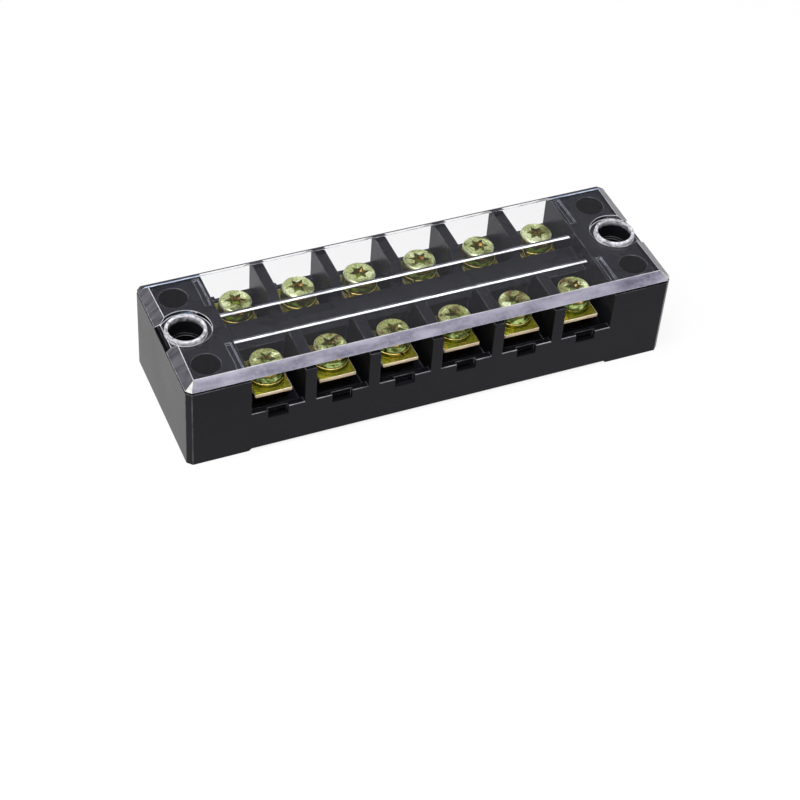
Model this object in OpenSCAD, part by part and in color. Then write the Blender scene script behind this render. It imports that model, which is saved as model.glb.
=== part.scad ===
// Barrier terminal strip with six poles: a moulded base, one conductor bar per pole,
// a clamp screw at each end of every bar, and a clear bevelled cover that lifts off.
// Millimetres. X runs along the strip, Y across it and Z up from the feet.

/* [Strip] */
// Length of the strip over both ends
strip_l = 70; // [69.4:0.2:72]
// Width of the strip across both rows
strip_w = 22; // [21.8:0.1:23]
// Height at which the cover lies on the base
deck_z = 13; // [12.8:0.1:14]
// Distance from one pole to the next
pitch = 9; // [8.8:0.05:9.1]
// Chamfer on the upright corners
corner_c = 0.7; // [0.4:0.1:1]

/* [Cells] */
// Clear width of a cell between two barriers
cell_w = 7.4; // [7:0.1:7.6]
// Thickness of the sill walls on the long sides
sill_t = 1; // [0.9:0.05:1.2]
// Height of the sills on the front side
front_sill_z = 6.75; // [6.6:0.05:7.2]
// Height of the sills on the back side
back_sill_z = 7.8; // [6.8:0.1:8]
// Clear length of a cell from the spine to its sill wall
cell_l = 7.4; // [7.2:0.05:7.5]
// Height of the spine
spine_z = 10; // [9:0.1:10.4]
// How far the barriers stay below the cover
barrier_drop = 0.2; // [0.1:0.05:0.5]
// How far the outer ends of the barriers stay below the cover
post_drop = 0.6; // [0.5:0.05:1]
// Length of the lowered outer ends of the barriers
post_l = 1; // [0.6:0.1:1.4]
// Width of the recess in the middle of each sill
recess_w = 2.8; // [2.6:0.1:3.2]
// Depth of the recess in the middle of each sill
recess_t = 0.5; // [0.4:0.05:0.6]
// Width of the slot at the foot of each recess
recess_slot_w = 2.2; // [2:0.1:2.4]
// Height of the slot at the foot of each recess
recess_slot_h = 0.55; // [0.5:0.05:0.9]

/* [End blocks] */
// Distance between the two mounting holes
mount_d = 63; // [62.6:0.1:63.4]
// Diameter of the mounting holes
mount_bore = 4.1; // [3.8:0.1:4.3]
// Diameter of the moulding cores beside the mounting holes
core_bore = 3.9; // [3.4:0.1:4.2]
// Depth of the moulding cores
core_depth = 8; // [4:0.5:10]
// Distance of the moulding cores from the long sides
core_side = 4.25; // [3.6:0.05:4.4]
// Distance of the moulding cores from the ends of the strip
core_end = 4; // [3.6:0.1:4.4]
// Drop of the outer edge below the deck
edge_drop = 0.35; // [0.2:0.05:0.5]
// Width of the lowered outer edge
edge_w = 0.6; // [0.4:0.1:0.6]

/* [Feet] */
// Height of the feet under the ends
foot_h = 0.35; // [0.2:0.05:0.8]
// Length of each foot
foot_l = 8.5; // [7.5:0.5:9]

/* [Conductor bars] */
// Height of the underside of the bars
bar_z = 5.45; // [5.2:0.05:5.5]
// Thickness of the bars
bar_t = 0.75; // [0.6:0.05:0.8]
// Width of the bars
bar_w = 5; // [4.6:0.1:6]
// Distance of the ends of the bars from the sill walls
bar_inset = 2; // [1.4:0.05:2]
// Diameter of the threaded bosses
boss_d = 3.8; // [3.6:0.1:3.8]
// Height of the threaded bosses below the bars
boss_h = 1.25; // [0.8:0.05:1.4]
// Thickness of the base under the screw wells
well_floor = 1.8; // [1.2:0.1:2]

/* [Clamp screws] */
// Distance of the screws from the sill walls
screw_inset = 3.9; // [3.85:0.05:3.95]
// Diameter of the screw shanks
shank_d = 2.9; // [2.8:0.05:3]
// Length of the shanks below the heads
shank_l = 5.5; // [5.2:0.1:5.6]
// Diameter of the heads
head_d = 4.9; // [4.6:0.1:5]
// Height of the heads
head_h = 1.85; // [1.7:0.05:2]
// Draw-in of the sides of the heads towards the top
head_taper = 0.2; // [0.1:0.05:0.3]
// Rounding of the upper edge of the heads
head_round = 0.35; // [0.2:0.05:0.5]
// Width across the tips of the star recess
star_d = 2.9; // [2.6:0.1:3.1]
// Width across the inner corners of the star recess
star_in = 1.8; // [1.5:0.1:2]
// Depth of the star recess
star_t = 1.3; // [1:0.05:1.4]
// Room for a wire between the bar and the clamp plate
wire_gap = 1.4; // [1.4:0.05:1.5]

/* [Washers and clamp plates] */
// Outer diameter of the spring washers
washer_d = 5; // [4.8:0.1:5.2]
// Thickness of the spring washers
washer_t = 0.75; // [0.6:0.05:0.8]
// Width of the split in the spring washers
washer_split = 0.4; // [0.2:0.05:0.6]
// Width of the clamp plates along the strip
plate_w = 5.2; // [5:0.1:5.6]
// Length of the clamp plates across the strip
plate_l = 6.2; // [5.6:0.1:6.3]
// Thickness of the clamp plates
plate_t = 0.55; // [0.5:0.05:0.6]
// Depth of the grip grooves under the clamp plates
grip_t = 0.2; // [0.1:0.05:0.3]

/* [Cover] */
// Thickness of the cover
cover_t = 1; // [0.8:0.05:1.2]
// Width of the sloped band around the cover
bevel_w = 1.37; // [1:0.01:1.6]
// Diameter of the round pockets in the ends of the cover
pocket_d = 7.5; // [7.2:0.1:7.8]
// Depth of the round pockets
pocket_t = 0.65; // [0.4:0.05:0.7]
// Width of the notches through the ends of the cover
notch_w = 5; // [4:0.1:5.6]
// Outer diameter of the collars around the mounting holes
collar_d = 5.4; // [5.2:0.1:5.6]
// How far the collars reach into the base
collar_l = 2; // [1.2:0.1:3]
// How far the collar rims stand above the pocket floor
collar_rim = 0.15; // [0.1:0.05:0.3]
// Distance of the middle of each blade from the side of the spine
blade_gap = 0.2; // [0.1:0.05:0.3]
// Thickness of the blades
blade_t = 0.6; // [0.4:0.05:0.6]
// Depth of the blades below the cover
blade_h = 1.5; // [1:0.1:2]
// Thickness of the locating ribs
rib_t = 0.7; // [0.5:0.05:0.8]
// Depth of the locating ribs below the cover
rib_h = 0.6; // [0.4:0.05:1]
// Distance of the locating ribs from the end cells
rib_gap = 0.5; // [0.4:0.05:0.6]
// Distance of the locating ribs from the line of the sill walls
rib_inset = 0.6; // [0.4:0.05:0.8]
// Length of the locating ribs
rib_l = 5.4; // [4.5:0.1:5.6]

/* [Hidden] */
poles = 6;
pole_numbers = [1:poles];
front = -1;
back = 1;
sides = [["front", front], ["back", back]];

// Clearances: a push fit, a loose drop-in fit, a seat under a screw, a thread and a through hole
push_fit = 0.05;
drop_fit = 0.1;
seat_gap = 0.02;
thread_fit = 0.05;
hole_fit = 0.15;
boss_fit = 0.3;
cut_over = 1;
$fn = 48;

row_half = (poles - 1) / 2 * pitch + cell_w / 2;
wall_y = strip_w / 2 - sill_t;
spine_y = wall_y - cell_l;
screw_y = wall_y - screw_inset;
core_y = strip_w / 2 - core_side;
rib_y = wall_y - rib_inset - rib_l;
blade_y = spine_y + blade_gap;
barrier_y = blade_y + blade_t / 2 + drop_fit;
bar_top = bar_z + bar_t;
plate_z = bar_top + wire_gap;
washer_z = plate_z + plate_t;
head_z = washer_z + washer_t + seat_gap;
head_top = head_z + head_h;
tip_z = head_z - shank_l;
tip_c = 0.4;
shank_r = shank_d / 2;
core_x = strip_l / 2 - core_end;
mount_x = mount_d / 2;
rib_x = row_half + rib_gap;
foot_slope = foot_h;
bar_half = wall_y - bar_inset;
star_tips = 6;
// The splits of the washers lie in any direction, spread out from the turns of the screws
split_spread = 23;

// Turn of each screw, in degrees, from the first pole to the last
front_turns = [-17, -11, -19, -16, -14, -15];
back_turns = [-16, -11, -6, -21, -13, -22];
function screw_turn(side, pole) = side == front ? front_turns[pole - 1] : back_turns[pole - 1];
function split_turn(side, pole) = screw_turn(side, pole) * split_spread;
function pole_x(pole) = (pole - (poles + 1) / 2) * pitch;
function sill_z(side) = side == front ? front_sill_z : back_sill_z;

// A block from one corner to the opposite one
module block(low, high) {
    translate(low) cube(high - low);
}

// Copies on both ends of the strip
module both_ends() {
    for (end = [0, 1]) mirror([end, 0, 0]) children();
}

// Copies on the front and on the back
module both_rows() {
    for (row = [0, 1]) mirror([0, row, 0]) children();
}

// Outline of the strip with its chamfered corners, drawn in by a margin on every side
module strip_outline(margin = 0) {
    x = strip_l / 2 - margin;
    y = strip_w / 2 - margin;
    c = max(corner_c - margin / 2, cut_over / 10);
    polygon([
        [-x + c, -y], [x - c, -y], [x, -y + c], [x, y - c],
        [x - c, y], [-x + c, y], [-x, y - c], [-x, -y + c]
    ]);
}

// The room of one cell on one side, with its window over the sill
module cell_room(side, pole) {
    x = pole_x(pole);
    room_top = deck_z + cut_over;
    outer_y = strip_w / 2 + cut_over;
    translate([x, 0, 0]) mirror([0, side == front ? 1 : 0, 0]) {
        block([-cell_w / 2, spine_y, bar_z], [cell_w / 2, wall_y, room_top]);
        block([-cell_w / 2, spine_y, sill_z(side)], [cell_w / 2, outer_y, room_top]);
        block([-recess_w / 2, strip_w / 2 - recess_t, bar_z], [recess_w / 2, outer_y, room_top]);
        block(
            [-recess_slot_w / 2, wall_y - push_fit, bar_z],
            [recess_slot_w / 2, outer_y, bar_z + recess_slot_h]
        );
    }
}

// The wells under the bosses and the passage of one bar below the spine
module bar_room(pole) {
    translate([pole_x(pole), 0, 0]) {
        block(
            [-bar_w / 2 - push_fit, -spine_y - push_fit, bar_z],
            [bar_w / 2 + push_fit, spine_y + push_fit, bar_top + push_fit]
        );
        both_rows() translate([0, screw_y, well_floor]) {
            cylinder(d = boss_d + boss_fit * 2, h = bar_z - well_floor + push_fit);
        }
    }
}

// The hollows of one end block: mounting hole, seat of the collar, two moulding cores, rib grooves
module end_room() {
    translate([mount_x, 0, -cut_over]) cylinder(d = mount_bore, h = deck_z + cut_over * 2);
    translate([mount_x, 0, deck_z - collar_l - drop_fit]) {
        cylinder(d = collar_d + drop_fit * 2, h = collar_l + cut_over);
    }
    both_rows() {
        translate([core_x, core_y, deck_z - core_depth]) cylinder(d = core_bore, h = core_depth + cut_over);
        block(
            [rib_x - drop_fit, rib_y - drop_fit, deck_z - rib_h - drop_fit],
            [rib_x + rib_t + drop_fit, rib_y + rib_l + drop_fit, deck_z + cut_over]
        );
    }
}

// The space under the strip between its two feet
module foot_gap() {
    x = strip_l / 2 - foot_l;
    rotate([90, 0, 0]) linear_extrude(height = strip_w + cut_over * 2, center = true) {
        polygon([
            [-x - foot_slope * 0.2, -cut_over], [x + foot_slope * 0.2, -cut_over], [x, 0],
            [x - foot_slope, foot_h], [-x + foot_slope, foot_h], [-x, 0]
        ]);
    }
}

module base() {
    outer_y = strip_w / 2;
    post_y = outer_y - post_l;
    color("#2b2b2f") difference() {
        union() {
            linear_extrude(height = deck_z - edge_drop) strip_outline();
            linear_extrude(height = deck_z - seat_gap) strip_outline(edge_w);
        }
        // Barriers stay below the cover, and their outer ends are lower still
        block([-row_half, -outer_y, deck_z - barrier_drop], [row_half, outer_y, deck_z + cut_over]);
        both_rows() {
            block([-row_half, post_y, deck_z - post_drop], [row_half, outer_y + cut_over, deck_z + cut_over]);
        }
        // The middle lies open above the spine for the two blades of the cover
        block([-row_half, -barrier_y, spine_z], [row_half, barrier_y, deck_z + cut_over]);
        for (pole = pole_numbers) {
            cell_room(front, pole);
            cell_room(back, pole);
            bar_room(pole);
        }
        both_ends() end_room();
        foot_gap();
    }
}

// Slab with sloped edges: the overlap of sloped prisms along X, along Y and over both diagonals
module bevelled_slab() {
    x = strip_l / 2;
    y = strip_w / 2;
    corner_low = (x + y - corner_c) / sqrt(2);
    corner_top = (x + y - bevel_w * 2) / sqrt(2);
    far = strip_l * 2;
    intersection() {
        sloped_prism(x, x - bevel_w, far);
        rotate([0, 0, 90]) sloped_prism(y, y - bevel_w, far);
        rotate([0, 0, 45]) sloped_prism(corner_low, corner_top, far);
        rotate([0, 0, -45]) sloped_prism(corner_low, corner_top, far);
    }
}

// Bar of trapezoid section as high as the cover, with its two slopes facing along X
module sloped_prism(low_half, top_half, far) {
    rotate([90, 0, 0]) linear_extrude(height = far, center = true) {
        polygon([[-low_half, 0], [low_half, 0], [top_half, cover_t], [-top_half, cover_t]]);
    }
}

// What stands under one end of the cover: the collar and the locating ribs
module cover_end() {
    floor_z = cover_t - pocket_t;
    translate([mount_x, 0, -collar_l]) cylinder(d = collar_d, h = collar_l + floor_z + collar_rim);
    both_rows() block([rib_x, rib_y, -rib_h], [rib_x + rib_t, rib_y + rib_l, floor_z / 2]);
}

// What is taken from one end of the cover: the pocket around the collar and the end notch
module cover_end_room() {
    floor_z = cover_t - pocket_t;
    translate([mount_x, 0, floor_z]) difference() {
        cylinder(d = pocket_d, h = pocket_t + cut_over);
        translate([0, 0, -cut_over]) cylinder(d = collar_d, h = collar_rim + cut_over);
    }
    block(
        [mount_x + collar_d / 2 + push_fit, -notch_w / 2, -cut_over],
        [strip_l / 2 + cut_over, notch_w / 2, cover_t + cut_over]
    );
    translate([mount_x, 0, -collar_l - cut_over]) {
        cylinder(d = mount_bore, h = collar_l + cover_t + cut_over * 2);
    }
}

module cover() {
    blade_half = row_half - boss_fit;
    color("#c9cdd6", 0.35) translate([0, 0, deck_z]) difference() {
        union() {
            bevelled_slab();
            both_ends() cover_end();
            both_rows() block(
                [-blade_half, blade_y - blade_t / 2, -blade_h],
                [blade_half, blade_y + blade_t / 2, cover_t / 2]
            );
        }
        both_ends() cover_end_room();
    }
}

module conductor(pole) {
    color("#c9b458") translate([pole_x(pole), 0, bar_z]) difference() {
        union() {
            block([-bar_w / 2, -bar_half, 0], [bar_w / 2, bar_half, bar_t]);
            both_rows() translate([0, screw_y, -boss_h]) cylinder(d = boss_d, h = boss_h + bar_t / 2);
        }
        both_rows() translate([0, screw_y, -boss_h - cut_over]) {
            cylinder(r = shank_r + thread_fit, h = boss_h + bar_t + cut_over * 2);
        }
    }
}

// Places a piece of one terminal at the middle of its screw
module at_screw(side, pole) {
    translate([pole_x(pole), side * screw_y, 0]) children();
}

module clamp_plate(side, pole) {
    groove_step = plate_l / 5;
    color("#b9a24a") at_screw(side, pole) difference() {
        translate([-plate_w / 2, -plate_l / 2, plate_z]) cube([plate_w, plate_l, plate_t]);
        translate([0, 0, plate_z - cut_over]) cylinder(r = shank_r + hole_fit, h = plate_t + cut_over * 2);
        for (groove = [-2, 2]) translate([0, groove * groove_step, plate_z]) rotate([45, 0, 0]) {
            cube([plate_w + cut_over, grip_t * sqrt(2), grip_t * sqrt(2)], center = true);
        }
    }
}

module spring_washer(side, pole) {
    color("#a9a554") at_screw(side, pole) translate([0, 0, washer_z]) difference() {
        cylinder(d = washer_d, h = washer_t);
        translate([0, 0, -cut_over]) cylinder(r = shank_r + hole_fit, h = washer_t + cut_over * 2);
        // The split of a coiled wire runs askew
        rotate([0, 0, split_turn(side, pole)]) translate([washer_d / 2, 0, washer_t / 2]) rotate([30, 0, 0]) {
            cube([washer_d, washer_split, washer_t * 3], center = true);
        }
    }
}

// Half section of the screw: tip chamfer, shank, head with a drawn-in side and a rounded upper edge
function screw_section() = concat(
    [[0, tip_z], [shank_r - tip_c, tip_z], [shank_r, tip_z + tip_c], [shank_r, head_z], [head_d / 2, head_z]],
    [
        for (angle = [0:15:90])
        [
            head_d / 2 - head_taper - head_round + head_round * cos(angle),
            head_top - head_round + head_round * sin(angle)
        ]
    ],
    [[0, head_top]]
);

// Star recess whose tips end higher than its middle
module drive_recess() {
    step = 180 / star_tips;
    translate([0, 0, -star_t]) intersection() {
        linear_extrude(height = star_t + cut_over) polygon([
            for (corner = [0:star_tips * 2 - 1])
            let (r = corner % 2 == 0 ? star_d / 2 : star_in / 2)
            [r * cos(corner * step), r * sin(corner * step)]
        ]);
        cylinder(d1 = star_in * 0.8, d2 = star_d + cut_over, h = star_t + cut_over / 2);
    }
}

module screw(side, pole) {
    color("#a9b56a") at_screw(side, pole) difference() {
        rotate_extrude() polygon(screw_section());
        translate([0, 0, head_top]) rotate([0, 0, screw_turn(side, pole)]) drive_recess();
    }
}

base();
cover();
for (pole = pole_numbers) {
    conductor(pole);
}
for (side = sides, pole = pole_numbers) {
    clamp_plate(side[1], pole);
    spring_washer(side[1], pole);
    screw(side[1], pole);
}
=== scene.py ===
import math

import bpy
from mathutils import Matrix, Vector


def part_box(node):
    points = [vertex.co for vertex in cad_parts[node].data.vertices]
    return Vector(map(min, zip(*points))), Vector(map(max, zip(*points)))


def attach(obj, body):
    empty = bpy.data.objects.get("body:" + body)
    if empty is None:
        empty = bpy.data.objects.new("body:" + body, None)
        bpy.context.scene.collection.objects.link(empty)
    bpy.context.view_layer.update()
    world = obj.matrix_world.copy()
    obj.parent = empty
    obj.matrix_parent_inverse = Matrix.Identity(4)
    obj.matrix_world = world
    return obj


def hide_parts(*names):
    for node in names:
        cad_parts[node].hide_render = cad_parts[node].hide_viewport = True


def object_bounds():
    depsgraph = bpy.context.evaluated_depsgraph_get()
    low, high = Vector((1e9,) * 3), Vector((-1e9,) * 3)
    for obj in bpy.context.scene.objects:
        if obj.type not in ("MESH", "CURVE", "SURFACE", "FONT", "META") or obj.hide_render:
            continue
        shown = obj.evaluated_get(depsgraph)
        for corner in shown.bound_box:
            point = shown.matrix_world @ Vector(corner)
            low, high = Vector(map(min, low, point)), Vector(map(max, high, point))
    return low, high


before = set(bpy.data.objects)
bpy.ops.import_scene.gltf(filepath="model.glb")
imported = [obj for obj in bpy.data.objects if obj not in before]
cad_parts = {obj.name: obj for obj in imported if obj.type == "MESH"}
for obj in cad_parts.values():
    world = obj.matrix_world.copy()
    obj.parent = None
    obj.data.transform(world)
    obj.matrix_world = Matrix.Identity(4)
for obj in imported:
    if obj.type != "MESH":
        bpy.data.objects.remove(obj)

mm = 0.001
poles = 6
pitch = 9 * mm
mountX = 31.5 * mm
# corners that are closer than this are one
same = 0.001 * mm
# how much of a normal lies along an axis: the face looks that way, or leans that way
facing = 0.9
leaning = 0.3
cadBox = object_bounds()
scene = bpy.context.scene
print("frame loaded")


# camera, fitted to the photo's vanishing lines

camera = {
    "place": (-90.12 * mm, -185.71 * mm, 190.70 * mm),
    "right": (0.9214, -0.3839, 0.0604),
    "up": (0.2280, 0.6597, 0.7161),
    "lens": 90.2,
    "sensor": 36.0,
    "clipStart": 0.01,
    "clipEnd": 20.0,
}


def addCamera(spec):
    right = Vector(spec["right"]).normalized()
    back = right.cross(Vector(spec["up"])).normalized()
    up = back.cross(right).normalized()
    turn = Matrix((right, up, back)).transposed().to_4x4()
    data = bpy.data.cameras.new("photoCamera")
    data.lens = spec["lens"]
    data.sensor_width = spec["sensor"]
    data.clip_start = spec["clipStart"]
    data.clip_end = spec["clipEnd"]
    holder = bpy.data.objects.new("photoCamera", data)
    scene.collection.objects.link(holder)
    holder.matrix_world = Matrix.Translation(spec["place"]) @ turn
    scene.camera = holder


addCamera(camera)
scene.view_settings.view_transform = "Standard"
print("camera placed")


# shader maths: a socket with operators

class Socket:
    def __init__(self, tree, link):
        self.tree = tree
        self.link = link

    def join(self, operation, *values):
        node = self.tree.tree.nodes.new("ShaderNodeMath")
        node.operation = operation
        for slot, value in zip(node.inputs, values):
            self.tree.feed(slot, value)
        return Socket(self.tree, node.outputs[0])

    def __add__(self, other):
        return self.join("ADD", self, other)

    def __radd__(self, other):
        return self.join("ADD", other, self)

    def __sub__(self, other):
        return self.join("SUBTRACT", self, other)

    def __rsub__(self, other):
        return self.join("SUBTRACT", other, self)

    def __mul__(self, other):
        return self.join("MULTIPLY", self, other)

    def __rmul__(self, other):
        return self.join("MULTIPLY", other, self)

    def orElse(self, other):
        return self.join("MAXIMUM", self, other)

    def between(self, low, high):
        node = self.tree.node("MapRange", {"clamp": True}, {"Value": self, "From Min": low, "From Max": high})
        return Socket(self.tree, node.outputs["Result"])


class Finish:
    # one material: its principled shader, and short ways to feed it
    def __init__(self, name, **plain):
        self.material = bpy.data.materials.new(name)
        self.material.use_nodes = True
        self.tree = self.material.node_tree
        self.shader = self.tree.nodes["Principled BSDF"]
        self.output = self.tree.nodes["Material Output"]
        for key, value in plain.items():
            self.set(key, value)

    def set(self, key, value):
        self.feed(self.shader.inputs[key], value)

    def feed(self, slot, value):
        if isinstance(value, Socket):
            self.tree.links.new(value.link, slot)
        elif isinstance(value, bpy.types.NodeSocket):
            self.tree.links.new(value, slot)
        elif hasattr(slot.default_value, "__len__") and len(value) < len(slot.default_value):
            slot.default_value = (*value, 1.0)
        else:
            slot.default_value = value

    def node(self, kind, settings=None, inputs=None):
        node = self.tree.nodes.new("ShaderNode" + kind)
        for key, value in (settings or {}).items():
            setattr(node, key, value)
        for key, value in (inputs or {}).items():
            self.feed(node.inputs[key], value)
        return node

    def place(self, stretch=(1.0, 1.0, 1.0)):
        coords = self.node("TexCoord")
        mapping = self.node("Mapping", None, {"Vector": coords.outputs["Object"], "Scale": stretch})
        return mapping.outputs["Vector"]

    def height(self, low, high):
        # 0 below the low level of the model, 1 above the high one
        apart = self.node("SeparateXYZ", None, {"Vector": self.place()})
        return Socket(self, apart.outputs["Z"]).between(low, high)

    def noise(self, size, detail=3.0, rough=0.55, stretch=(1.0, 1.0, 1.0), warp=0.0):
        inputs = {"Vector": self.place(stretch), "Scale": 1.0 / size, "Detail": detail,
                  "Roughness": rough, "Distortion": warp}
        node = self.node("TexNoise", {"noise_dimensions": "3D"}, inputs)
        return Socket(self, node.outputs["Fac"])

    def ramp(self, value, stops):
        node = self.node("ValToRGB", None, {"Fac": value})
        node.color_ramp.interpolation = "EASE"
        marks = node.color_ramp.elements
        while len(marks) < len(stops):
            marks.new(0.5)
        for mark, (where, colour) in zip(marks, stops):
            mark.position = where
            mark.color = (*colour, 1.0)
        return node.outputs["Color"]

    def mix(self, share, first, second):
        node = self.node("Mix", {"data_type": "RGBA"})
        self.feed(node.inputs[0], share)
        self.feed(node.inputs[6], first)
        self.feed(node.inputs[7], second)
        return node.outputs[2]

    def bump(self, height, strength, distance):
        inputs = {"Height": height, "Strength": strength, "Distance": distance}
        self.set("Normal", self.node("Bump", None, inputs).outputs["Normal"])


# finishes, among them painted light and painted shade

def mouldedBlack():
    finish = Finish("mouldedBlack", **{"IOR": 1.205})
    cloud = finish.noise(9 * mm, 4.0)
    speck = finish.noise(0.3 * mm, 2.0)
    finish.set("Base Color", finish.mix(cloud, (0.006, 0.006, 0.008), (0.011, 0.011, 0.014)))
    finish.set("Roughness", 0.22 + 0.12 * cloud)
    finish.bump(speck, 0.02, 0.02 * mm)
    return finish.material


def mouldedShade(name, reflect):
    # painted shade: the same moulding made darker deep inside a hole or a cell, where hardly any light gets
    finish = Finish(name, **{"IOR": reflect})
    cloud = finish.noise(2 * mm, 3.0)
    finish.set("Base Color", finish.mix(cloud, (0.002, 0.002, 0.0025), (0.005, 0.005, 0.006)))
    finish.set("Roughness", 0.35 + 0.2 * cloud)
    return finish.material


def mouldedEdge():
    # painted highlight: the corners of the moulding are a little lighter, where the edges catch the light
    finish = Finish("mouldedEdge", **{"IOR": 1.45})
    edgeGlint = finish.noise(1.2 * mm, 3.0)
    finish.set("Base Color", finish.mix(edgeGlint.between(0.42, 0.75), (0.010, 0.010, 0.012), (0.070, 0.070, 0.080)))
    finish.set("Roughness", 0.25 + 0.15 * edgeGlint)
    return finish.material


def clearPlastic():
    finish = Finish("clearPlastic", **{"IOR": 1.5, "Transmission Weight": 1.0})
    haze = finish.noise(12 * mm, 3.0)
    finish.set("Base Color", finish.mix(haze, (0.955, 0.955, 0.965), (0.985, 0.985, 0.99)))
    finish.set("Roughness", 0.0)
    return finish.material


def bladePlastic():
    # the sides of the blades hardly show against the black of the moulding
    finish = Finish("bladeSide", **{"IOR": 1.02, "Alpha": 0.04})
    haze = finish.noise(4 * mm, 3.0)
    finish.set("Base Color", finish.mix(haze, (0.03, 0.03, 0.035), (0.10, 0.10, 0.115)))
    finish.set("Roughness", 0.4 + 0.1 * haze)
    return finish.material


def paintedPlateLight(name, dark, pale, share, size, stretch):
    # painted light: an edge of the clear plate, coloured with the light that runs along the plate and comes out
    # there
    finish = Finish(name, **{"IOR": 1.5, "Transmission Weight": share})
    streak = finish.noise(size, 4.0, stretch=stretch)
    fleck = finish.noise(0.5 * mm, 3.0)
    tone = finish.mix(streak.between(0.3, 0.72), dark, pale)
    finish.set("Base Color", finish.mix(0.35 * fleck.between(0.45, 0.75), tone, pale))
    finish.set("Roughness", 0.12 + 0.16 * streak)
    return finish.material


def collarPlastic(name, dark, pale, low, high):
    # painted highlight at the rim and painted shade where the collar goes down into the moulding
    finish = Finish(name, **{"IOR": 1.45, "Transmission Weight": 0.2})
    wave = finish.noise(0.7 * mm, 4.0, warp=0.8)
    deep = [0.25 * part for part in pale]
    half = [0.6 * part for part in pale]
    tone = finish.ramp(wave, [(0.36, deep), (0.50, half), (0.62, pale)])
    finish.set("Base Color", finish.mix(finish.height(low, high), dark, tone))
    finish.set("Roughness", 0.06 + 0.2 * wave)
    return finish.material


def paintedLine(name, dark, pale, size, glow=0.0, reflect=1.1):
    # a narrow edge of the clear plastic, with painted light where it gathers light and painted shade where it keeps
    # it out; the glow makes it shine without a lamp
    finish = Finish(name, **{"IOR": reflect, "Emission Strength": glow})
    wave = finish.noise(size, 4.0, stretch=(0.6, 1, 1))
    tone = finish.mix(wave.between(0.35, 0.65), dark, pale)
    finish.set("Base Color", tone)
    finish.set("Emission Color", tone)
    finish.set("Roughness", 0.3 + 0.2 * wave)
    return finish.material


def yellowZinc(name, pale, gold, spot, rough, spots=0.7, size=1.6 * mm, metal=1.0):
    # passivated zinc: a pale film that drifts to gold, with small red spots; the washers, bars and recess edges use
    # it with dark colours as painted shade, and the plate sides with light ones as painted highlight
    finish = Finish(name, **{"Metallic": metal})
    drift = finish.noise(size, 3.0, warp=0.6)
    fine = finish.noise(0.25 * mm, 4.0)
    dots = finish.noise(0.7 * mm, 2.0, warp=1.5)
    tone = finish.ramp(drift, [(0.34, pale), (0.54, pale), (0.70, gold)])
    tone = finish.mix(dots.between(0.60, 0.72) * spots, tone, spot)
    finish.set("Base Color", tone)
    finish.set("Roughness", rough + 0.12 * fine)
    finish.bump(fine, 0.10, 0.01 * mm)
    return finish.material


def zincFace(name, bright, pale, dark, spot):
    # the top of a screw head: bright and dark patches with small spots, partly the zinc's own colour and partly
    # painted reflection
    finish = Finish(name, **{"Metallic": 0.5})
    patch = finish.noise(2.2 * mm, 3.0, warp=0.9)
    fine = finish.noise(0.4 * mm, 4.0)
    dots = finish.noise(0.5 * mm, 2.0, warp=1.5)
    tone = finish.ramp(patch, [(0.38, bright), (0.46, pale), (0.54, pale), (0.62, dark)])
    tone = finish.mix(0.4 * fine.between(0.5, 0.7), tone, dark)
    finish.set("Base Color", finish.mix(0.5 * dots.between(0.62, 0.72), tone, spot))
    finish.set("Roughness", 0.2 + 0.15 * fine)
    finish.bump(fine, 0.12, 0.01 * mm)
    return finish.material


def zincSide(name, pale, dark, warm):
    # the side of a screw head, with painted reflections: the bands and spots that it picks up from the parts round
    # it
    finish = Finish(name, **{"Metallic": 0.7})
    patch = finish.noise(0.8 * mm, 3.0, stretch=(1, 1, 1.6), warp=0.5)
    fine = finish.noise(0.25 * mm, 4.0)
    level = finish.height(headBottom, headBottom + headHeight) + 0.35 * (patch - 0.5)
    bands = finish.ramp(level, [(0.06, dark), (0.18, pale), (0.46, pale), (0.56, dark), (0.70, warm), (0.92, pale)])
    finish.set("Base Color", finish.mix(patch.between(0.42, 0.62), dark, bands))
    finish.set("Roughness", 0.18 + 0.12 * fine)
    finish.bump(fine, 0.10, 0.01 * mm)
    return finish.material


def zincEdge(name, pale, warm):
    # painted highlight on the crests of the plated edges
    finish = Finish(name, **{"Metallic": 0.75})
    drift = finish.noise(0.8 * mm, 3.0)
    finish.set("Base Color", finish.mix(drift.between(0.35, 0.65), pale, warm))
    finish.set("Roughness", 0.22 + 0.15 * drift)
    return finish.material


# all screw heads are at one height, and some finishes change with it
screwLow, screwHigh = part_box("screw_front_1")
headTop = screwHigh[2]
headHeight = 1.85 * mm
headBottom = headTop - headHeight - 0.01 * mm

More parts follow.
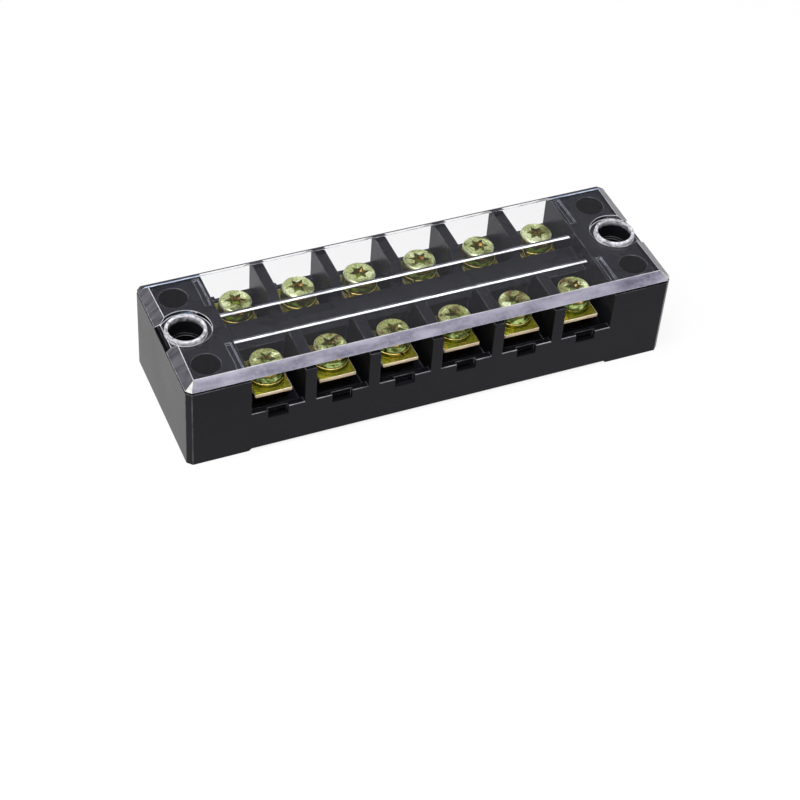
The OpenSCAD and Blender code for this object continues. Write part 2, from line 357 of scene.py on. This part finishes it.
finishes = {
    "base": mouldedBlack(),
    "baseEdge": mouldedEdge(),
    "cover": clearPlastic(),
    "bladeSide": bladePlastic(),
    # painted light that glows on the blades' feet, and painted shade on their rear edges
    "bladeFront": paintedLine("bladeFront", (0.40, 0.40, 0.43), (0.92, 0.92, 0.95), 2.2 * mm, glow=0.35),
    "bladeRear": paintedLine("bladeRear", (0.02, 0.02, 0.024), (0.12, 0.12, 0.14), 1.2 * mm),
    # painted light on the edges of the rib slots
    "ribEdge": paintedPlateLight("ribEdge", (0.04, 0.04, 0.05), (0.36, 0.36, 0.44), 0.3, 0.8 * mm, (1, 1, 1)),
    "rearLine": paintedLine("rearLine", (0.02, 0.02, 0.025), (0.07, 0.07, 0.085), 1.2 * mm, reflect=1.03),
    "rearEdge": paintedLine("rearEdge", (0.05, 0.05, 0.07), (0.75, 0.77, 0.85), 0.5 * mm),
    "rearCorner": paintedLine("rearCorner", (0.16, 0.26, 0.50), (0.70, 0.82, 0.98), 1.5 * mm),
    "bandEdge": paintedLine("bandEdge", (0.22, 0.21, 0.26), (0.95, 0.95, 0.93), 2.2 * mm),
    # painted shade for the holes and the cells
    "hole": mouldedShade("mouldedHole", 1.04),
    # painted highlight for the upper edges of the sills
    "edgeHighlight": paintedLine("mouldedBrightEdge", (0.02, 0.02, 0.022), (0.34, 0.34, 0.37), 1.5 * mm,
                              reflect=1.4),
    "cell": mouldedShade("mouldedCell", 1.13),
    # painted light on the cover's rounded edges, its sloped bands and its corner facets
    "coverEdge": paintedPlateLight("clearEdge", (0.50, 0.50, 0.56), (0.95, 0.95, 1.0), 0.35, 1.5 * mm, (1, 1, 1)),
    "frontBand": paintedPlateLight("frontBand", (0.15, 0.145, 0.20), (0.50, 0.48, 0.58), 0.25, 1.8 * mm,
                               (0.35, 1, 1)),
    "endBand": paintedPlateLight("endBand", (0.035, 0.035, 0.04), (0.17, 0.165, 0.185), 0.30, 1.6 * mm,
                             (0.4, 2.0, 0.4)),
    "facet": paintedPlateLight("cornerFacet", (0.42, 0.42, 0.38), (0.78, 0.78, 0.70), 0.25, 0.6 * mm, (1, 1, 1)),
    "collar": collarPlastic("collarRim", (0.01, 0.01, 0.012), (0.93, 0.92, 0.98), 13.1 * mm, 13.75 * mm),
    "sideFront": zincSide("zincScrewSide", (0.46, 0.60, 0.20), (0.05, 0.06, 0.005), (0.46, 0.28, 0.07)),
    "sideBack": zincSide("zincSideBack", (0.34, 0.50, 0.02), (0.06, 0.06, 0.01), (0.72, 0.34, 0.10)),
    # painted highlights on the head rims and on the edges of screws, washers, plates and bars
    "rimFront": zincEdge("zincHeadRim", (0.70, 0.78, 0.48), (0.42, 0.30, 0.10)),
    "rimBack": zincEdge("zincRimBack", (0.86, 0.92, 0.68), (0.46, 0.54, 0.24)),
    "faceFront": zincFace("zincFaceFront", (0.78, 0.86, 0.52), (0.28, 0.31, 0.11), (0.10, 0.06, 0.02),
                          (0.26, 0.12, 0.03)),
    "faceBack": zincFace("zincFaceBack", (0.66, 0.72, 0.42), (0.38, 0.43, 0.19), (0.14, 0.15, 0.04),
                         (0.30, 0.16, 0.05)),
    "edgeFront": zincEdge("zincEdgeFront", (0.86, 0.82, 0.52), (0.34, 0.21, 0.06)),
    "edgeBack": zincEdge("zincScrewEdge", (0.88, 0.95, 0.70), (0.92, 0.88, 0.60)),
    # painted shade on the rounded edges of the recesses
    "recessEdge": yellowZinc("recessEdge", (0.07, 0.03, 0.005), (0.42, 0.36, 0.16), (0.30, 0.03, 0.01), 0.30,
                             1.0, 0.7 * mm, 0.3),
    # painted shade on the washers
    "washer": yellowZinc("zincWasher", (0.08, 0.10, 0.01), (0.26, 0.17, 0.02), (0.16, 0.05, 0.01), 0.20,
                         metal=0.7),
    "washerEdge": zincEdge("zincWasherEdge", (0.85, 0.60, 0.18), (0.62, 0.50, 0.14)),
    "plate": yellowZinc("zincPlate", (0.44, 0.42, 0.04), (0.80, 0.50, 0.12), (0.12, 0.20, 0.01), 0.18, 0.6,
                        2.4 * mm, 0.85),
    "plateEdge": zincEdge("zincPlateEdge", (0.98, 0.80, 0.55), (0.95, 0.88, 0.70)),
    # painted highlight on the sides of the plates
    "plateSide": yellowZinc("zincPlateSide", (0.88, 0.70, 0.46), (0.92, 0.62, 0.36), (0.50, 0.36, 0.16), 0.25,
                            0.8, 1.2 * mm, 0.3),
    # painted shade on the bars, near black
    "bar": yellowZinc("stampedBar", (0.05, 0.04, 0.012), (0.08, 0.05, 0.015), (0.03, 0.02, 0.01), 0.4),
    "barEdge": zincEdge("stampedBarEdge", (0.10, 0.08, 0.03), (0.07, 0.05, 0.02)),
}
print("finishes made")


# pieces

def pickNothing():
    if bpy.context.object and bpy.context.object.mode != "OBJECT":
        bpy.ops.object.mode_set(mode="OBJECT")
    bpy.ops.object.select_all(action="DESELECT")


def pickOnly(piece):
    pickNothing()
    piece.select_set(True)
    bpy.context.view_layer.objects.active = piece


def pickNoPart(piece, kind="VERT"):
    # the piece is picked and nothing in it, and its parts of this kind can be picked next
    pickOnly(piece)
    bpy.ops.object.mode_set(mode="EDIT")
    bpy.ops.mesh.select_all(action="DESELECT")
    bpy.ops.mesh.select_mode(type=kind)
    bpy.ops.object.mode_set(mode="OBJECT")


def cleanCopy(nodeName, pieceName, looks):
    # the node's own shape with merged corners and no needless edges
    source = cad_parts[nodeName]
    piece = bpy.data.objects.new(pieceName, source.data.copy())
    piece.data.materials.clear()
    for look in looks:
        piece.data.materials.append(finishes[look])
    scene.collection.objects.link(piece)
    pickOnly(piece)
    bpy.ops.object.mode_set(mode="EDIT")
    bpy.ops.mesh.select_all(action="SELECT")
    bpy.ops.mesh.remove_doubles(threshold=same)
    bpy.ops.mesh.dissolve_limited(angle_limit=math.radians(0.5))
    bpy.ops.mesh.customdata_custom_splitnormals_clear()
    bpy.ops.object.mode_set(mode="OBJECT")
    for face in piece.data.polygons:
        face.material_index = 0
    return piece


def roundEdges(piece, width, segments=2, angle=30, smooth=12, flatArea=3 * mm * mm):
    # the second look of the piece goes on the rounded edges
    pickOnly(piece)
    bevel = piece.modifiers.new("edges", "BEVEL")
    bevel.width = width
    bevel.segments = segments
    bevel.limit_method = "ANGLE"
    bevel.angle_limit = math.radians(angle)
    bevel.material = 1
    bpy.ops.object.modifier_apply(modifier="edges")
    bpy.ops.object.shade_smooth_by_angle(angle=math.radians(smooth))
    for face in piece.data.polygons:
        if face.area > flatArea:
            face.use_smooth = False


def paint(piece, look, test, layer=0):
    # a further look on the faces of a layer that pass the test: 0 are the plain faces, 1 the rounded edges
    index = len(piece.data.materials)
    piece.data.materials.append(finishes[look])
    for face in piece.data.polygons:
        if face.material_index == layer and test(face.center, face.normal, face.area):
            face.material_index = index


def joinTo(piece, others):
    pickNothing()
    for other in others:
        other.select_set(True)
    piece.select_set(True)
    bpy.context.view_layer.objects.active = piece
    bpy.ops.object.join()


def cutFaces(piece, test, point, normal):
    # the faces that pass the test are cut along a plane
    pickNoPart(piece, "FACE")
    for face in piece.data.polygons:
        face.select = test(face.center, face.normal, face.area)
    bpy.ops.object.mode_set(mode="EDIT")
    bpy.ops.mesh.bisect(plane_co=point, plane_no=normal)
    bpy.ops.mesh.select_mode(type="VERT")
    bpy.ops.object.mode_set(mode="OBJECT")


def stand(piece, nodeName, body):
    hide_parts(nodeName)
    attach(piece, body)


edges = {
    "base": 0.09 * mm,
    "cover": 0.06 * mm,
    "plate": 0.09 * mm,
    "washer": 0.07 * mm,
    "screw": 0.08 * mm,
    "bar": 0.06 * mm,
}

baseLook = {
    "core": (31 * mm, 6.75 * mm),
    "coreReach": 2 * mm,
    "mountReach": 2.1 * mm,
    "holeTop": 12.8 * mm,
    "cellBack": -0.5,
    "slotLow": 1 * mm,
    "slotTop": 6 * mm,
    "slotDepth": 9.9 * mm,
    "slotReach": 1.56 * mm,
    "cellReach": (27 * mm, 2.4 * mm, 10.9 * mm),
    "cellTop": 12.7 * mm,
    "sillLow": 4 * mm,
    "sillHigh": 8.2 * mm,
    "sillFront": 10.75 * mm,
}

barriers = {
    "reach": 20 * mm,
    "top": 12.5 * mm,
    "side": 8 * mm,
    "slopeFrom": 4.3 * mm,
    "plainTo": 4.6 * mm,
    "end": 3.6 * mm,
    "drop": 1.28 * mm,
}


def isBarrier(centre, normal, area):
    above = normal.z > facing and centre.z > barriers["top"]
    beside = abs(normal.x) > facing and centre.z > barriers["side"]
    return abs(centre.x) < barriers["reach"] and (above or beside)


def slopeBarriers(piece):
    # next to the spine the barriers slope down, so that the blades show above them
    for side in (-1, 1):
        cutFaces(piece, isBarrier, (0, side * barriers["slopeFrom"], 0), (0, 1, 0))
    for corner in piece.data.vertices:
        near = abs(corner.co.x) < barriers["reach"] and abs(corner.co.y) < barriers["end"]
        if near and corner.co.z > barriers["top"]:
            corner.co.z -= barriers["drop"]


def isSillEdge(centre, normal, area):
    low = baseLook["sillLow"] < centre.z < baseLook["sillHigh"]
    level = normal.z > leaning and abs(normal.x) < leaning
    return low and level and abs(centre.y) > baseLook["sillFront"]


def isBarrierEnd(centre, normal, area):
    near = abs(centre.x) < barriers["reach"] and abs(centre.y) < barriers["plainTo"]
    return near and centre.z > barriers["side"]


def isUpright(centre, normal, area):
    # the upright edges of the cell mouths stay as dark as the walls
    mouth = abs(centre.y) > baseLook["sillFront"] and abs(centre.x) < baseLook["cellReach"][0]
    upright = abs(normal.z) < leaning < abs(normal.x)
    return mouth and upright and centre.z < baseLook["cellTop"]


def isHole(centre, normal, area):
    coreX, coreY = baseLook["core"]
    inCore = math.hypot(abs(centre.x) - coreX, abs(centre.y) - coreY) < baseLook["coreReach"]
    inMount = math.hypot(abs(centre.x) - mountX, centre.y) < baseLook["mountReach"]
    return centre.z < baseLook["holeTop"] and (inCore or inMount)


def isSlot(centre, normal, area):
    # the rounded edges of the slots in the sills and the walls inside them
    along = (centre.x + baseLook["cellReach"][0]) % pitch - pitch / 2
    low = baseLook["slotLow"] < centre.z < baseLook["slotTop"]
    return low and abs(along) < baseLook["slotReach"] and abs(centre.y) > baseLook["slotDepth"]


def isFrontCell(centre, normal, area):
    farX, nearY, farY = baseLook["cellReach"]
    inside = abs(centre.x) < farX and -farY < centre.y < -nearY
    return inside and centre.z < baseLook["cellTop"] and normal.y > baseLook["cellBack"]


baseMoulding = cleanCopy("base", "baseMoulding", ["base", "baseEdge"])
slopeBarriers(baseMoulding)
# the rounded edges of the moulding take the painted highlight of baseEdge
roundEdges(baseMoulding, edges["base"])
# painted shade: the holes, the front cells and the slots take the darker moulding
paint(baseMoulding, "hole", isHole)
paint(baseMoulding, "cell", isFrontCell)
paint(baseMoulding, "hole", isSlot)
paint(baseMoulding, "cell", isSlot, 1)
# painted highlight along the upper edges of the sills
paint(baseMoulding, "edgeHighlight", isSillEdge, 1)
paint(baseMoulding, "base", isUpright, 1)
paint(baseMoulding, "base", isBarrierEnd, 1)
stand(baseMoulding, "base", "base")

coverLook = {
    "deck": 13 * mm,
    "topFrom": 13.9 * mm,
    "collarReach": 2.82 * mm,
    "rimLow": 13.5 * mm,
    "bladeReach": (26.5 * mm, 3.7 * mm),
    "bladeHigh": 12.5 * mm,
    "ribReach": (26.3 * mm, 28.6 * mm),
    "ribHigh": 13.05 * mm,
    "rearY": 9.3 * mm,
    "rearWidth": 0.12 * mm,
    "rearLine": 10.4 * mm,
    "rearCorner": 9.8 * mm,
    "frontLine": -10.86 * mm,
    "walls": [pitch * wall for wall in range(-2, 3)],
    "wallHalf": 0.8 * mm,
    "wallLead": 0.35 * mm,
    "blockFrom": 26.2 * mm,
    "slopeLow": 0.4,
    "slopeHigh": 0.95,
    "tilt": 0.2,
    "bandArea": 0.3 * mm * mm,
}


def isSteep(normal):
    return coverLook["slopeLow"] < normal.z < coverLook["slopeHigh"]


def isSlope(centre, normal, area):
    return isSteep(normal) and area > coverLook["bandArea"] and centre.z > coverLook["deck"]


def isFrontFacet(centre, normal, area):
    cornered = abs(normal.x) > coverLook["tilt"] and normal.y < -coverLook["tilt"]
    return isSlope(centre, normal, area) and cornered


def isFrontBand(centre, normal, area):
    return isSlope(centre, normal, area) and normal.y < -coverLook["tilt"]


def isFrontLine(centre, normal, area):
    return isSteep(normal) and centre.y < coverLook["frontLine"]


def isRearSlope(centre, normal, area):
    return isSlope(centre, normal, area) and normal.y > coverLook["tilt"]


def isRearDark(centre, normal, area):
    # painted shade: the rearmost strip, and all that lies over a wall of the base, are painted dark
    nearest = min(abs(centre.x - wall) for wall in coverLook["walls"])
    overWall = nearest < coverLook["wallHalf"] or abs(centre.x) > coverLook["blockFrom"]
    onSlope = isSteep(normal) and normal.y >= coverLook["tilt"]
    return onSlope and (overWall or centre.y > coverLook["rearLine"])


def isRearEdge(centre, normal, area):
    return abs(centre.y - coverLook["rearY"]) < coverLook["rearWidth"] and centre.z > coverLook["topFrom"]


def isRearCorner(centre, normal, area):
    # painted reflection: over the end blocks a strip of the slope next to the top has a bluish glint
    onSlope = isSteep(normal) and normal.y > coverLook["tilt"]
    return onSlope and centre.y < coverLook["rearCorner"] and abs(centre.x) > coverLook["blockFrom"]


def isRibEdge(centre, normal, area):
    nearX, farX = coverLook["ribReach"]
    return centre.z < coverLook["ribHigh"] and nearX < abs(centre.x) < farX


def isEndBand(centre, normal, area):
    return isSlope(centre, normal, area) and abs(normal.x) > coverLook["tilt"]


def isCollar(centre, normal, area):
    reach = math.hypot(abs(centre.x) - mountX, centre.y)
    showing = centre.z > coverLook["rimLow"] or abs(normal.z) < leaning
    return reach < coverLook["collarReach"] and showing


collars = {
    "bore": (2.05 * mm, 2.35 * mm),
    "outside": (2.70 * mm, 2.80 * mm),
    "pocket": (3.75 * mm, 3.50 * mm),
    "pocketFloor": 13.35 * mm,
    "rim": (13.5 * mm, 13.95 * mm),
    "near": 0.03 * mm,
}


def reshapeCollars(piece):
    # the collars come up almost flush, with a thinner wall and a narrower ring around them
    for corner in piece.data.vertices:
        side = 1 if corner.co.x > 0 else -1
        arm = Vector((corner.co.x - side * mountX, corner.co.y, 0))
        high = corner.co.z > collars["pocketFloor"] - collars["near"]
        for key in ("bore", "outside", "pocket"):
            old, new = collars[key]
            if abs(arm.length - old) < collars["near"] and (high or key == "bore"):
                corner.co += arm * (new / old - 1)
                if key != "pocket" and abs(corner.co.z - collars["rim"][0]) < collars["near"]:
                    corner.co.z = collars["rim"][1]
                break


def widenRearSlope(piece):
    # the upper edge of the rear slope comes forward
    for corner in piece.data.vertices:
        if corner.co.z > coverLook["topFrom"] and corner.co.y > coverLook["rearY"]:
            corner.co.y = coverLook["rearY"]


blades = {
    "reach": 26 * mm,
    "middle": 2.75 * mm,
    "thick": 0.6 * mm,
    "top": 12.99 * mm,
    "foot": 11.7 * mm,
    "frontRound": 0.10 * mm,
    "rearRound": 0.16 * mm,
    "steps": 4,
    "near": 0.01 * mm,
}


def takeBladesOff(piece):
    # the plain blades of the node go, and the holes that they leave are closed
    pickNoPart(piece)
    farX, farY = coverLook["bladeReach"]
    for corner in piece.data.vertices:
        low = corner.co.z < coverLook["bladeHigh"]
        corner.select = low and abs(corner.co.x) < farX and abs(corner.co.y) < farY
    bpy.ops.object.mode_set(mode="EDIT")
    bpy.ops.mesh.delete(type="VERT")
    bpy.ops.mesh.select_all(action="DESELECT")
    bpy.ops.mesh.select_non_manifold()
    bpy.ops.mesh.fill_holes(sides=0)
    bpy.ops.object.mode_set(mode="OBJECT")


def roundLowerEdge(blade, edgeY, width, look):
    pickNoPart(blade)
    for edge in blade.data.edges:
        ends = [blade.data.vertices[corner].co for corner in edge.vertices]
        edge.select = all(abs(end.y - edgeY) < blades["near"] and end.z < blades["foot"] + blades["near"]
                          for end in ends)
    bpy.ops.object.mode_set(mode="EDIT")
    bpy.ops.mesh.bevel(offset=width, segments=blades["steps"], affect="EDGES", material=look)
    bpy.ops.object.mode_set(mode="OBJECT")


def addBlade(side):
    # a bar with its two lower edges rounded: its foot and near edge are painted light that glows, and its rear edge
    # is painted shade
    thick = blades["thick"]
    high = blades["top"] - blades["foot"]
    middle = side * blades["middle"]
    pickNothing()
    bpy.ops.mesh.primitive_cube_add(size=1, location=(0, middle, blades["foot"] + high / 2),
                                    scale=(blades["reach"] * 2, thick, high))
    bpy.ops.object.transform_apply(location=True, rotation=True, scale=True)
    blade = bpy.context.object
    for look in ("bladeSide", "bladeFront", "bladeRear"):
        blade.data.materials.append(finishes[look])
    for face in blade.data.polygons:
        if face.normal.z < -facing:
            face.material_index = 1
    roundLowerEdge(blade, middle - thick / 2, blades["frontRound"], 1)
    roundLowerEdge(blade, middle + thick / 2, blades["rearRound"], 2)
    bpy.ops.object.shade_smooth_by_angle(angle=math.radians(40))
    return blade


clearCover = cleanCopy("cover", "clearCover", ["cover", "coverEdge"])
reshapeCollars(clearCover)
widenRearSlope(clearCover)
takeBladesOff(clearCover)
roundEdges(clearCover, edges["cover"])
cutFaces(clearCover, isFrontBand, (0, coverLook["frontLine"], 0), (0, 1, 0))
cutFaces(clearCover, isRearSlope, (0, coverLook["rearLine"], 0), (0, 1, 0))
for wall in coverLook["walls"]:
    for edgeX in (wall - coverLook["wallHalf"] - coverLook["wallLead"], wall + coverLook["wallHalf"]):
        cutFaces(clearCover, isRearSlope, (edgeX, 0, 0), (1, 0, 0))
for edgeX in (-coverLook["blockFrom"], coverLook["blockFrom"]):
    cutFaces(clearCover, isRearSlope, (edgeX, 0, 0), (1, 0, 0))
cutFaces(clearCover, isRearSlope, (0, coverLook["rearCorner"], 0), (0, 1, 0))
# painted highlight along the band's lower edge, and painted light in the corner facets and the front band
paint(clearCover, "bandEdge", isFrontLine)
paint(clearCover, "facet", isFrontFacet)
paint(clearCover, "frontBand", isFrontBand)
# painted reflection, painted shade and painted highlight on the rear slope
paint(clearCover, "rearCorner", isRearCorner)
paint(clearCover, "rearLine", isRearDark)
paint(clearCover, "rearEdge", isRearEdge, 1)
# painted light on the rib slot edges and in the end bands
paint(clearCover, "ribEdge", isRibEdge, 1)
paint(clearCover, "endBand", isEndBand)
# painted highlight and painted shade on the collars
paint(clearCover, "collar", isCollar)
joinTo(clearCover, [addBlade(1), addBlade(-1)])
clearCover.visible_shadow = False
stand(clearCover, "cover", "cover")
print("base and cover dressed")

thread = {
    "pitch": 0.5 * mm,
    "root": 1.22 * mm,
    "crest": 1.46 * mm,
    "shank": 1.46 * mm,
    "sunk": 0.96,
    "fill": 0.84,
    "tipRoom": 0.45 * mm,
    "steps": 20,
}


def threadRidge(low, high):
    # a circle of three corners, flattened, then turned and lifted into a helix round the shank
    foot = thread["root"] * thread["sunk"]
    depth = thread["crest"] - foot
    pickNothing()
    bpy.ops.mesh.primitive_circle_add(vertices=3, radius=depth * 2 / 3, location=(foot + depth / 3, 0, low),
                                      rotation=(math.pi / 2, math.pi / 2, 0))
    bpy.ops.object.transform_apply(location=True, rotation=True, scale=True)
    ridge = bpy.context.object
    ridge.name = "threadRidge"
    bpy.ops.object.mode_set(mode="EDIT")
    bpy.ops.mesh.select_all(action="SELECT")
    stretch = thread["pitch"] * thread["fill"] / (depth * 2 / math.sqrt(3))
    bpy.ops.transform.resize(value=(1, 1, stretch), center_override=(0, 0, low))
    bpy.ops.object.mode_set(mode="OBJECT")
    turns = (high - low) / thread["pitch"]
    helix = ridge.modifiers.new("helix", "SCREW")
    helix.angle = math.tau
    helix.screw_offset = thread["pitch"]
    helix.iterations = int(turns)
    helix.steps = thread["steps"]
    helix.render_steps = thread["steps"]
    bpy.ops.object.modifier_apply(modifier="helix")
    bpy.ops.object.mode_set(mode="EDIT")
    bpy.ops.mesh.select_all(action="SELECT")
    bpy.ops.mesh.remove_doubles(threshold=same)
    bpy.ops.mesh.fill_holes(sides=0)
    bpy.ops.mesh.normals_make_consistent(inside=False)
    bpy.ops.object.mode_set(mode="OBJECT")
    return ridge


def addThread(screw, middle, ridge):
    # the plain shank goes down to the root, and a copy of the ridge is joined to it
    for corner in screw.data.vertices:
        arm = corner.co - middle
        arm.z = 0
        if arm.length < thread["shank"] and corner.co.z < headBottom:
            corner.co -= arm * (1 - thread["root"] / thread["shank"])
    copy = bpy.data.objects.new(screw.name + "Thread", ridge.data.copy())
    scene.collection.objects.link(copy)
    for corner in copy.data.vertices:
        corner.co += middle
    joinTo(screw, [copy])


heads = {
    "recessReach": 1.6 * mm,
    "face": 0.05 * mm,
    "rim": 0.4 * mm,
    "narrow": 0.84,
}


def narrowStar(screw, middle):
    # the arms of the recess get narrower, and their tips stay where they are
    inside = [corner for corner in screw.data.vertices
              if corner.co.z > headBottom and (corner.co.xy - middle).length < heads["recessReach"]]
    tip = max(inside, key=lambda corner: (corner.co.xy - middle).length).co.xy - middle
    start = math.atan2(tip.y, tip.x)
    for corner in inside:
        arm = corner.co.xy - middle
        whole = math.atan2(arm.y, arm.x)
        turn = (whole - start) % (math.pi / 3)
        nearTip = turn < math.pi / 6
        off = turn if nearTip else math.pi / 3 - turn
        side = 2 * arm.length * math.sin(off)
        if side < same:
            continue
        notch = whole - off + math.pi / 6 if nearTip else whole + off - math.pi / 6
        corner.co.x -= (1 - heads["narrow"]) * side * math.cos(notch)
        corner.co.y -= (1 - heads["narrow"]) * side * math.sin(notch)


def isPlateSide(centre, normal, area):
    return abs(normal.z) < leaning


def isHeadFace(centre, normal, area):
    return normal.z > facing and centre.z > headTop - heads["face"]


def isHeadRim(centre, normal, area):
    return normal.z > 0.1 and centre.z > headTop - heads["rim"]


def dressBar(pole):
    bar = cleanCopy(f"conductor_{pole}", f"bar{pole}", ["bar", "barEdge"])
    roundEdges(bar, edges["bar"])
    stand(bar, f"conductor_{pole}", "base")


def dressPlate(tail):
    plate = cleanCopy(f"clamp_plate_{tail}", f"clampPlate_{tail}", ["plate", "plateEdge"])
    roundEdges(plate, edges["plate"])
    # painted highlight: the sides of the plates are light cream
    paint(plate, "plateSide", isPlateSide)
    stand(plate, f"clamp_plate_{tail}", f"clamp_{tail}")


def dressWasher(tail):
    washer = cleanCopy(f"spring_washer_{tail}", f"springWasher_{tail}", ["washer", "washerEdge"])
    roundEdges(washer, edges["washer"])
    stand(washer, f"spring_washer_{tail}", f"clamp_{tail}")


def dressScrew(tail, row, ridge):
    # the heads of the two rows reflect different surroundings, so each row has its own painted reflections
    screw = cleanCopy(f"screw_{tail}", f"clampScrew_{tail}", ["side" + row, "edge" + row])
    low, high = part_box(f"screw_{tail}")
    middle = Vector(((low[0] + high[0]) / 2, (low[1] + high[1]) / 2, 0))

    def onRecess(centre, normal, area):
        return (centre - middle).xy.length < heads["recessReach"] and centre.z > headBottom

    narrowStar(screw, middle.xy)
    roundEdges(screw, edges["screw"])
    # painted shade: the rounded edges of the recess are dark brown
    paint(screw, "recessEdge", onRecess, 1)
    paint(screw, "face" + row, isHeadFace)
    # painted highlight on the rim of the head
    paint(screw, "rim" + row, isHeadRim)
    addThread(screw, middle, ridge)
    stand(screw, f"screw_{tail}", f"screw_{tail}")


ridge = threadRidge(screwLow[2] + thread["tipRoom"], headBottom - thread["pitch"] / 2)
for pole in range(1, poles + 1):
    dressBar(pole)
    for side in ("front", "back"):
        tail = f"{side}_{pole}"
        dressPlate(tail)
        dressWasher(tail)
        dressScrew(tail, side.capitalize(), ridge)
bpy.data.objects.remove(ridge)
print("metal parts dressed")


# floor, backdrop and light

studio = {
    "floorHalf": 0.8,
    "floorShade": (0.85, 0.85, 0.85),
    "whiteShare": 0.85,
    "worldLight": (0.20, 0.20, 0.22),
    "worldStrength": 1.0,
}


def addFloor(spec):
    pickNothing()
    bpy.ops.mesh.primitive_plane_add(size=spec["floorHalf"] * 2, location=(0, 0, 0))
    floor = bpy.context.object
    floor.name = "studioFloor"
    paper = Finish("floorPaper", **{"Roughness": 0.9, "Specular IOR Level": 0.1})
    paper.set("Base Color", spec["floorShade"])
    rays = paper.node("LightPath")
    seen = Socket(paper, rays.outputs["Is Camera Ray"]).orElse(rays.outputs["Is Transmission Ray"])
    seen = seen.orElse(rays.outputs["Is Glossy Ray"])
    glow = paper.node("Emission", None, {"Color": (1.0, 1.0, 1.0), "Strength": 1.0})
    both = paper.node("MixShader", None, {"Fac": spec["whiteShare"] * seen})
    paper.tree.links.new(paper.shader.outputs[0], both.inputs[1])
    paper.tree.links.new(glow.outputs[0], both.inputs[2])
    paper.tree.links.new(both.outputs[0], paper.output.inputs["Surface"])
    floor.data.materials.append(paper.material)


def addWorld(spec):
    world = bpy.data.worlds.new("studioWorld")
    world.use_nodes = True
    scene.world = world
    nodes = world.node_tree.nodes
    links = world.node_tree.links
    light = nodes["Background"]
    light.inputs["Color"].default_value = (*spec["worldLight"], 1.0)
    light.inputs["Strength"].default_value = spec["worldStrength"]
    white = nodes.new("ShaderNodeBackground")
    white.inputs["Color"].default_value = (1.0, 1.0, 1.0, 1.0)
    white.inputs["Strength"].default_value = 1.0
    rays = nodes.new("ShaderNodeLightPath")
    choose = nodes.new("ShaderNodeMixShader")
    links.new(rays.outputs["Is Camera Ray"], choose.inputs["Fac"])
    links.new(light.outputs[0], choose.inputs[1])
    links.new(white.outputs[0], choose.inputs[2])
    links.new(choose.outputs[0], nodes["World Output"].inputs["Surface"])


lamps = {
    "topBox": {"place": (-0.14, -0.16, 0.58), "size": (0.5, 0.5), "power": 5.0, "tint": (1.0, 1.0, 1.0)},
    "leftBox": {"place": (-0.50, 0.10, 0.22), "size": (0.25, 0.3), "power": 1.1, "tint": (1.0, 0.98, 0.96)},
}


def addLamp(name, spec, aim):
    data = bpy.data.lights.new(name, "AREA")
    data.shape = "RECTANGLE"
    data.size, data.size_y = spec["size"]
    data.energy = spec["power"]
    data.color = spec["tint"]
    lamp = bpy.data.objects.new(name, data)
    scene.collection.objects.link(lamp)
    lamp.location = spec["place"]
    lamp.rotation_euler = (Vector(aim) - Vector(spec["place"])).to_track_quat("-Z", "Y").to_euler()


addFloor(studio)
addWorld(studio)
for name, spec in lamps.items():
    addLamp(name, spec, (0, 0, cadBox[1][2] / 2))
print("floor and lamps placed")
